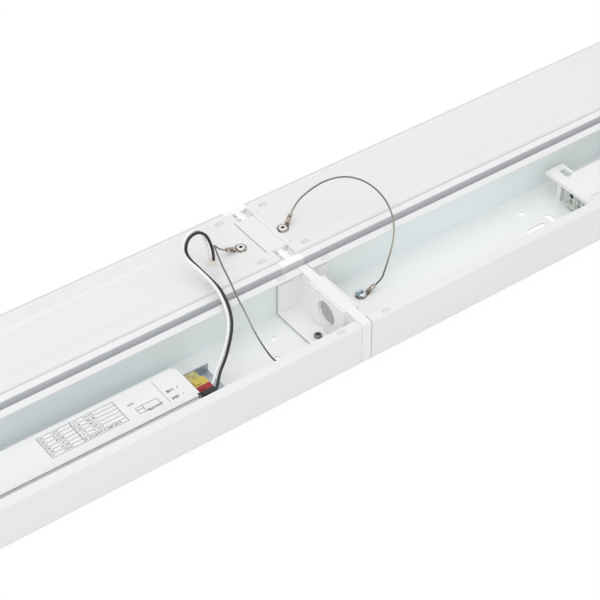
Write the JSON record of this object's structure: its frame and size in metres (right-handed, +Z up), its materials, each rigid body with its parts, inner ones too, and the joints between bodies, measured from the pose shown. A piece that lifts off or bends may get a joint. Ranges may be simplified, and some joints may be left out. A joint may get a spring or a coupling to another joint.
{
  "type": "led batten light",
  "caption": "Coupled slim LED battens lying open on their backs, gear and wiring in the housings, opal covers behind them on tethers.",
  "frame": {"origin": "on the surface that it rests on, at the coupling of the two battens, midway between the front of the housings and the back of the covers", "axes": "+X along the battens to the right section, +Y from the housings to the covers, +Z up, away from the mounting backs"},
  "size_m": [1.2, 0.163, 0.068],
  "materials": {
    "housing_paint": "white powder coat on steel sheet, satin",
    "tray_paint": "white coil coat on steel sheet, glossy",
    "cap_plastic": "moulded polycarbonate, slightly warm white",
    "opal_plastic": "opal diffusing plastic, satin",
    "driver_plastic": "smooth moulded white plastic",
    "driver_metal": "bare zinc-coated steel",
    "circuit_board": "laminate, olive solder mask",
    "terminal_yellow": "moulded terminal plastic",
    "terminal_red": "moulded terminal plastic",
    "terminal_black": "moulded terminal plastic",
    "carrier_plastic": "moulded white plastic",
    "mains_terminal_plastic": "moulded terminal plastic",
    "dark_screw": "black oxide",
    "zinc_screw": "zinc plate",
    "led_board_white": "white solder-masked laminate",
    "led_package": "phosphor under clear resin",
    "grommet_rubber": "soft off-white",
    "rivet_metal": "bright nickel plate",
    "ring_metal": "tinned and crimped",
    "rope_steel": "stranded wire",
    "lead_black": "soft PVC insulation",
    "lead_white": "soft PVC insulation"
  },
  "bodies": {
    "root": {"left_base_ring": "ring_metal", "left_black_lead": "lead_black", "left_carrier_screw": "zinc_screw", "left_diffuser": "opal_plastic", "left_driver_base": "driver_metal", "left_driver_board": "circuit_board", "left_driver_cover": "driver_plastic", "left_driver_screws": "zinc_screw", "left_end_cap_screws": "dark_screw", "left_gear_tray": "tray_paint", "left_housing": "housing_paint", "left_joint_cover_cap": "cap_plastic", "left_joint_end_cap": "cap_plastic", "left_lead_grommet": "grommet_rubber", "left_led_board": "led_board_white", "left_led_packages": "led_package", "left_mains_terminal": "mains_terminal_plastic", "left_mains_terminal_screws": "dark_screw", "left_outer_cover_cap": "cap_plastic", "left_outer_end_cap": "cap_plastic", "left_output_terminal_black": "terminal_black", "left_output_terminal_red": "terminal_red", "left_output_terminal_yellow": "terminal_yellow", "left_rope_rivet": "rivet_metal", "left_rope_screw": "zinc_screw", "left_safety_rope": "rope_steel", "left_terminal_carrier": "carrier_plastic", "left_tray_ring": "ring_metal", "left_white_lead": "lead_white", "right_base_ring": "ring_metal", "right_carrier_screw": "zinc_screw", "right_diffuser": "opal_plastic", "right_driver_base": "driver_metal", "right_driver_board": "circuit_board", "right_driver_cover": "driver_plastic", "right_driver_screws": "zinc_screw", "right_end_cap_screws": "dark_screw", "right_gear_tray": "tray_paint", "right_housing": "housing_paint", "right_joint_cover_cap": "cap_plastic", "right_joint_end_cap": "cap_plastic", "right_lead_grommet": "grommet_rubber", "right_led_board": "led_board_white", "right_led_packages": "led_package", "right_mains_terminal": "mains_terminal_plastic", "right_mains_terminal_screws": "dark_screw", "right_outer_cover_cap": "cap_plastic", "right_outer_end_cap": "cap_plastic", "right_output_terminal_black": "terminal_black", "right_output_terminal_red": "terminal_red", "right_output_terminal_yellow": "terminal_yellow", "right_rope_rivet": "rivet_metal", "right_rope_screw": "zinc_screw", "right_safety_rope": "rope_steel", "right_terminal_carrier": "carrier_plastic", "right_tray_ring": "ring_metal"}
  },
  "joints": []
}
